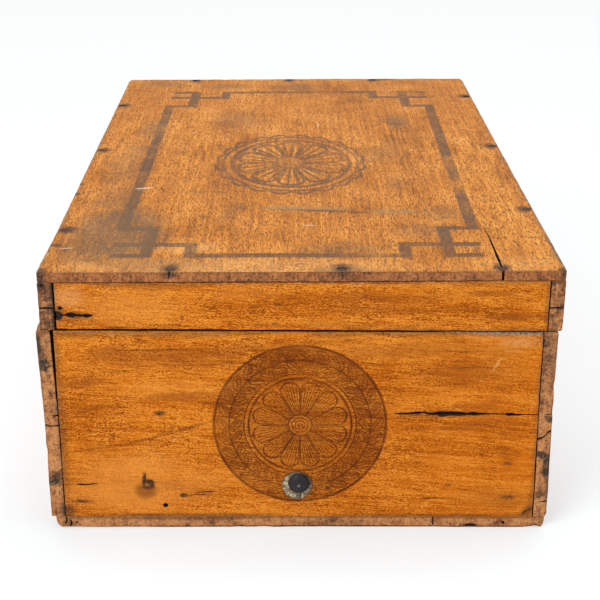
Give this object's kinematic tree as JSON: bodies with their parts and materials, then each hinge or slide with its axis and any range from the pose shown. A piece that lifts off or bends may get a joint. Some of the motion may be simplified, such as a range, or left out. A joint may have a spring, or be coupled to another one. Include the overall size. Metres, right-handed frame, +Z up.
{
  "type": "hinged wooden box",
  "caption": "Long, low antique wooden box of nailed boards, with a shallow framed lid hinged along one long side.",
  "frame": {"origin": "centre of the underside of the bottom board, on the surface that the box stands on", "axes": "+Z up, -Y towards the decorated end with the stud, +X towards the hinged long side"},
  "size_m": [0.2935, 0.4799, 0.1582],
  "materials": {
    "varnished_wood": "worn satin varnish",
    "top_wood": "worn satin varnish with grime",
    "bottom_wood": "bare aged wood",
    "iron": "dark aged iron",
    "nails": "rusted iron",
    "washer": "dull tinned iron"
  },
  "bodies": {
    "box": {"bottom_board": "bottom_wood", "left_wall": "varnished_wood", "right_wall": "varnished_wood", "front_board": "varnished_wood", "back_board": "varnished_wood", "body_corner_nails": "nails", "bottom_nails": "nails", "front_hinge_body_leaf": "iron", "rear_hinge_body_leaf": "iron", "front_hinge_pin": "iron", "rear_hinge_pin": "iron", "body_hinge_screws": "iron", "stud_bolt": "iron", "stud_washer": "washer", "stud_nut": "iron"},
    "lid": {"lid_top": "top_wood", "lid_left_rail": "varnished_wood", "lid_right_rail": "varnished_wood", "lid_front_rail": "varnished_wood", "lid_back_rail": "varnished_wood", "lid_top_nails": "nails", "lid_corner_nails": "nails", "front_hinge_lid_leaf": "iron", "rear_hinge_lid_leaf": "iron", "lid_hinge_screws": "iron"}
  },
  "joints": [
    {"name": "lid_hinge", "type": "hinge", "parent": "box", "child": "lid", "pos_m": [0.1479, 0, 0.1229], "axis": [0, 1, 0], "range_deg": [0, 180]}
  ]
}
